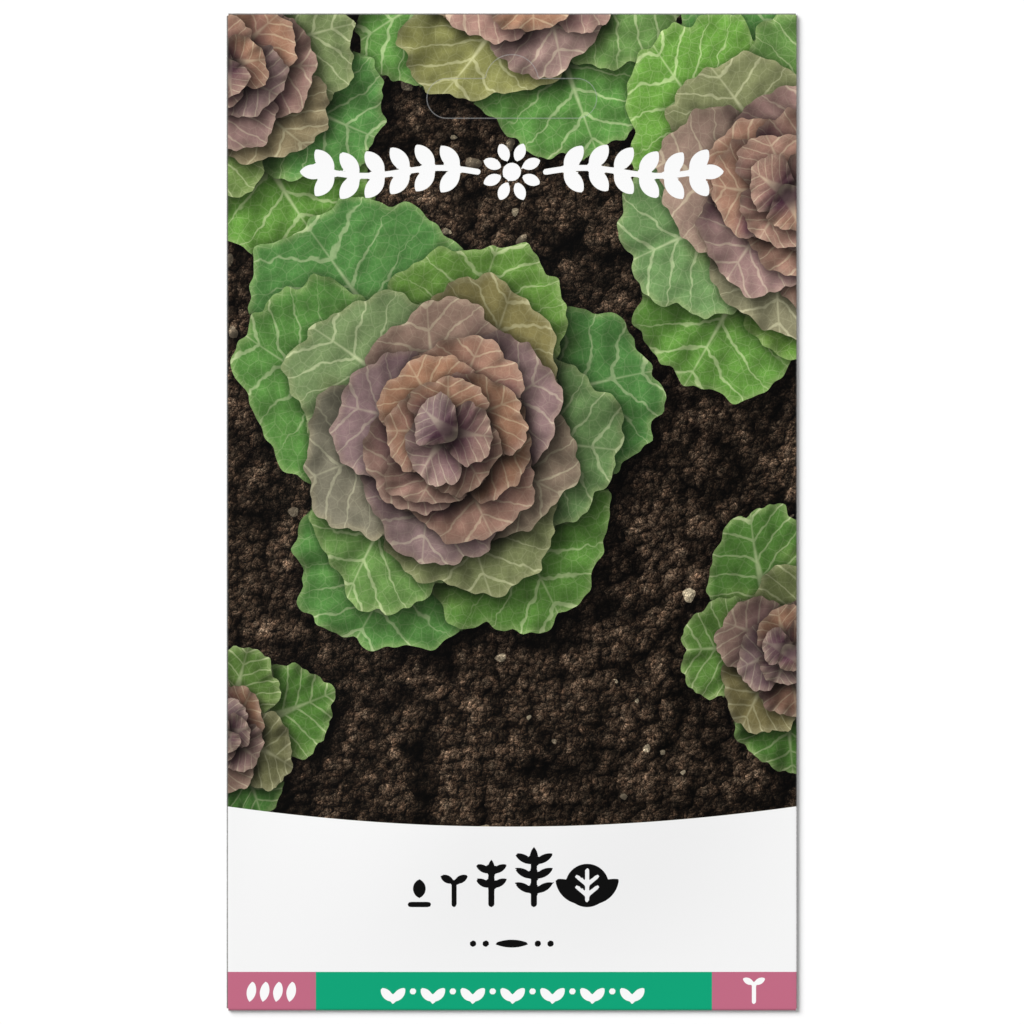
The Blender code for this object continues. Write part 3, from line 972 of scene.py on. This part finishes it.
def print_colour(nodes, place):
    """The printed design's colour, with the detail of soil and leaves."""
    side = nodes.band(nodes.attribute("edge", "Fac"), -0.03, 0.03)

    def printed(prefix, output, kind):
        over, under = (nodes.attribute(prefix + coat, output) for coat in ("over", "under"))
        return nodes.mix(side, over, under, kind)

    colour = printed("", "Color", "RGBA")
    kind = printed("", "Alpha", "FLOAT")
    veins = printed("veins_", "Vector", "VECTOR")

    soil = nodes.math("SUBTRACT", 1.0, kind, clamp=True)
    light = nodes.math("MULTIPLY", nodes.math("POWER", soil_light(nodes, place), 1.6), 1.13)
    browns = nodes.mix(nodes.noise(place, 0.7, 3.0), (0.86, 1.0, 1.04, 1.0), (1.22, 0.98, 0.86, 1.0))
    earth = nodes.vector("MULTIPLY", nodes.vector("SCALE", colour, scale=light), browns)
    colour = nodes.mix(soil, colour, earth)

    contrast = nodes.math("SUBTRACT", 2.0, kind, clamp=True)
    contrast = nodes.math("MULTIPLY", contrast, nodes.math("SUBTRACT", 1.0, soil))
    share = nodes.math("MULTIPLY", leaf_veins(nodes, place, veins), contrast)
    brightness = nodes.add("ShaderNodeRGBToBW")
    nodes.link(colour, brightness.inputs[0])
    faded = nodes.vector("SCALE", (1.02, 1.0, 0.66), scale=brightness.outputs[0])
    pale = nodes.vector("SCALE", nodes.mix(0.62, colour, faded), scale=2.3)
    colour = nodes.mix(share, colour, pale)
    mottle = nodes.math("MULTIPLY_ADD", nodes.noise(place, 1.1, 4.0, 0.6), 0.5, 0.75)
    return nodes.mix(contrast, colour, nodes.vector("SCALE", colour, scale=mottle))


def paper_finish(nodes, shader, place, roughness):
    """The smooth, slightly satin surface of coated paper, with its fibres."""
    fibre = nodes.noise(place, 5.5, 3.0, 0.6)
    cloud = nodes.noise(place, 0.35, 2.0)
    nodes.bump(shader, 0.10, 0.02 * MM, nodes.math("MULTIPLY_ADD", cloud, 1.5, fibre))
    nodes.link(nodes.math("MULTIPLY_ADD", fibre, 0.10, roughness - 0.05), shader.inputs["Roughness"])
    shader.inputs["Specular IOR Level"].default_value = 0.05


def printed_paper():
    """The outside of the sheet: its print, painted grey shade along the folds' edges, and the pale line
    round the slot.
    """
    material, nodes, shader = new_material("printed_paper")
    place = nodes.places()
    x, y, z = nodes.split(place)
    # Noise that mottles the painted shade on the folds
    fold_shade_noise = nodes.noise(place, 2.6, 3.0, 0.7)

    def paint_fold_shade(colour, edges, reach, strength, grey, where=1.0):
        """Paints shade as a mottled grey on the fold along the nearer of these two edges."""
        crease = nodes.band(nodes.math("MINIMUM", *edges), *reach, 1.0, 0.0)
        fold_shade = nodes.math("MULTIPLY", crease, nodes.band(fold_shade_noise, 0.35, 0.68, *strength))
        return nodes.mix(nodes.math("MULTIPLY", fold_shade, where), colour, rgba(ink(*grey)))

    right, low = nodes.math("SUBTRACT", WIDTH / 2, x), nodes.math("ADD", y, HEIGHT / 2)
    left, top = nodes.math("ADD", x, WIDTH / 2), nodes.math("SUBTRACT", HEIGHT / 2, y)
    colour = print_colour(nodes, place)
    # Painted shade: grey lines on the folds darken the packet's outline, fainter along the right and bottom,
    # darker on the upper half of the left and top folds
    colour = paint_fold_shade(colour, (right, low), (0.02, 0.24), (0.35, 0.8), (168, 168, 166))
    upper_side = nodes.band(z, 0.38, 0.50)
    colour = paint_fold_shade(colour, (left, top), (0.16, 0.36), (0.85, 1.0), (112, 112, 110), upper_side)

    cut = nodes.math("ABSOLUTE", nodes.attribute("slot", "Fac"))
    broken = nodes.math("MULTIPLY_ADD", nodes.noise(place, 3.0, 2.0), 0.06, CUT_LINE - 0.03)
    pressed = nodes.band(nodes.math("SUBTRACT", cut, broken), -0.02, 0.03, 0.19, 0.0)
    nodes.link(nodes.mix(pressed, colour, rgba(PANEL)), shader.inputs["Base Color"])
    paper_finish(nodes, shader, place, 0.58)
    return material


def bare_paper():
    """The unprinted side of the sheet, and its cut edges."""
    material, nodes, shader = new_material("bare_paper")
    place = nodes.places()
    fibre = nodes.noise(nodes.vector("MULTIPLY", place, (1.0, 4.0, 9.0)), 1.6, 4.0, 0.65)
    tone = nodes.mix(fibre, rgba(ink(226, 222, 212)), rgba(ink(244, 242, 236)))
    nodes.link(tone, shader.inputs["Base Color"])
    paper_finish(nodes, shader, place, 0.7)
    return material


def glassine():
    """The pouch's thin film: cloudy, with fine wrinkles."""
    material, nodes, shader = new_material("glassine")
    place = nodes.places()
    cloud = nodes.noise(place, 0.5, 4.0, 0.6)
    tone = nodes.mix(cloud, rgba(ink(206, 202, 188)), rgba(ink(232, 230, 220)))
    nodes.link(tone, shader.inputs["Base Color"])
    wrinkle = nodes.noise(nodes.vector("MULTIPLY", place, (1.0, 0.3, 1.0)), 0.8, 4.0, 0.7)
    nodes.bump(shader, 0.5, 0.2 * MM, wrinkle)
    shader.inputs["Roughness"].default_value = 0.32
    return material


def seed_coat():
    """Dark brown seeds with a fine net of ridges."""
    material, nodes, shader = new_material("seed_coat")
    place = nodes.places()
    net = nodes.net(place, 5.0)
    blotch = nodes.noise(place, 0.7, 3.0)
    tone = nodes.mix(blotch, rgba(ink(52, 30, 24)), rgba(ink(104, 66, 50)))
    tone = nodes.mix(nodes.band(net, 0.0, 0.1, 0.5, 0.0), tone, rgba(ink(30, 18, 15)))
    nodes.link(tone, shader.inputs["Base Color"])
    nodes.bump(shader, 0.4, 0.05 * MM, net)
    shader.inputs["Roughness"].default_value = 0.55
    return material


# The packet


def build_packet():
    columns, rows = sheet_columns(), sheet_rows()
    outer, inner, kept = fold_sheet(columns, rows)
    design = Print(columns[:, 4], rows[:, 6])
    picture(design)
    label(design)
    ornaments(design)
    back_design(design)

    printed, bare = printed_paper(), bare_paper()
    whole = corners(kept).all(axis=2)
    ends = [0, *np.searchsorted(design.t, STRIP_ENDS), len(design.t) - 1]
    strips = []
    for name, first, last in zip(("packet_lower", "packet_middle", "packet_header"), ends, ends[1:]):
        part = (slice(0, whole.shape[0]), slice(first, last))
        points = (slice(0, whole.shape[0] + 1), slice(first, last + 1))
        skins = outer[points], inner[points]
        strips.append(lattice_solid(name, *skins, whole[part], design, part, (printed, bare, bare)))

    header = strips[-1]
    combine(header, slot_prism(SLOT_CUT / 2, -1, FRONT_LEVEL + 1, bare), "DIFFERENCE")
    for strip in strips:
        finish_piece(strip, "packet_sheet", slot="printed_paper")

    i = slice(*np.searchsorted(design.s, (-SLOT_WIDTH / 2 - 1, SLOT_WIDTH / 2 + 1)))
    j = slice(*np.searchsorted(design.t, (SLOT_BOTTOM - 1, SLOT_TOP + 1)))
    points = (slice(i.start, i.stop + 1), slice(j.start, j.stop + 1))
    top = outer[points]
    bottom = top * (1, 1, 0)
    every = np.ones((top.shape[0] - 1, top.shape[1] - 1), bool)
    chip = lattice_solid("slot_push_out", top, bottom, every, design, (i, j), (printed, printed, bare))
    combine(chip, slot_prism(-SLOT_CUT / 2, -1, FRONT_LEVEL + 1, bare), "INTERSECT")
    finish_piece(chip, "slot_chip", slot="slot_chip_paper")


def dress_contents():
    """The pouch and the seeds keep their solids and get their own materials."""
    film, coat = glassine(), seed_coat()
    for node, material in (("pouch_back_film", film), ("pouch_front_film", film), ("seeds", coat)):
        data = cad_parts[node].data
        data.materials.clear()
        data.materials.append(material)


# The room


def build_floor():
    material, nodes, shader = new_material("floor")
    grain = nodes.noise(nodes.places(), 0.02, 2.0)
    tone = nodes.mix(grain, rgba((0.878, 0.878, 0.878)), rgba((0.884, 0.884, 0.884)))
    nodes.link(tone, shader.inputs["Base Color"])
    shader.inputs["Roughness"].default_value = 0.9
    shader.inputs["Specular IOR Level"].default_value = 0.1
    mesh = bpy.data.meshes.new("floor")
    points = [((2 * i - 1) * FLOOR_HALF, (2 * j - 1) * FLOOR_HALF, 0) for i, j in CORNERS]
    mesh.from_pydata(points, [], [(0, 1, 2, 3)])
    mesh.materials.append(material)
    floor = add_object("floor", mesh)
    floor.location.z = -FLOOR_GAP


def build_lights():
    """A broad key light from the upper left, and a white room that is darker straight above the packet."""
    scene = bpy.context.scene
    world = bpy.data.worlds.new("room")
    world.use_nodes = True
    nodes = Nodes(world.node_tree)
    upward = nodes.split(nodes.add("ShaderNodeTexCoord").outputs["Generated"])[2]
    level = nodes.band(upward, *ROOM_RAMP, ROOM_SIDES, ROOM_TOP)
    background = world.node_tree.nodes["Background"]
    nodes.link(level, background.inputs["Strength"])
    background.inputs["Color"].default_value = (1.0, 1.0, 1.0, 1.0)
    scene.world = world

    height = np.linspace(0, 1, 400)
    room = ROOM_SIDES + (ROOM_TOP - ROOM_SIDES) * smooth(height, *ROOM_RAMP)
    from_room = 2 * np.mean(room * height)
    key = bpy.data.lights.new("key", "SUN")
    key.angle = KEY_ANGLE
    key.energy = (ROOM_LIGHT - from_room) * math.pi / KEY_VECTOR.z
    lamp = add_object("key", key)
    lamp.rotation_euler = KEY_VECTOR.to_track_quat("Z", "Y").to_euler()
    scene.view_settings.view_transform = "Standard"


def build_camera():
    """Straight above the packet, through a long lens, so that the frame is as wide as the photograph's."""
    camera = bpy.data.cameras.new("camera")
    camera.sensor_width = SENSOR
    camera.lens = LENS
    eye = add_object("camera", camera)
    distance = FRAME_WIDTH * LENS / SENSOR
    eye.location = (VIEW_MIDDLE[0] * MM, VIEW_MIDDLE[1] * MM, (distance + FRONT_LEVEL) * MM)
    camera.clip_start, camera.clip_end = 0.05, 10.0
    bpy.context.scene.camera = eye


build_packet()
dress_contents()
build_floor()
build_lights()
build_camera()
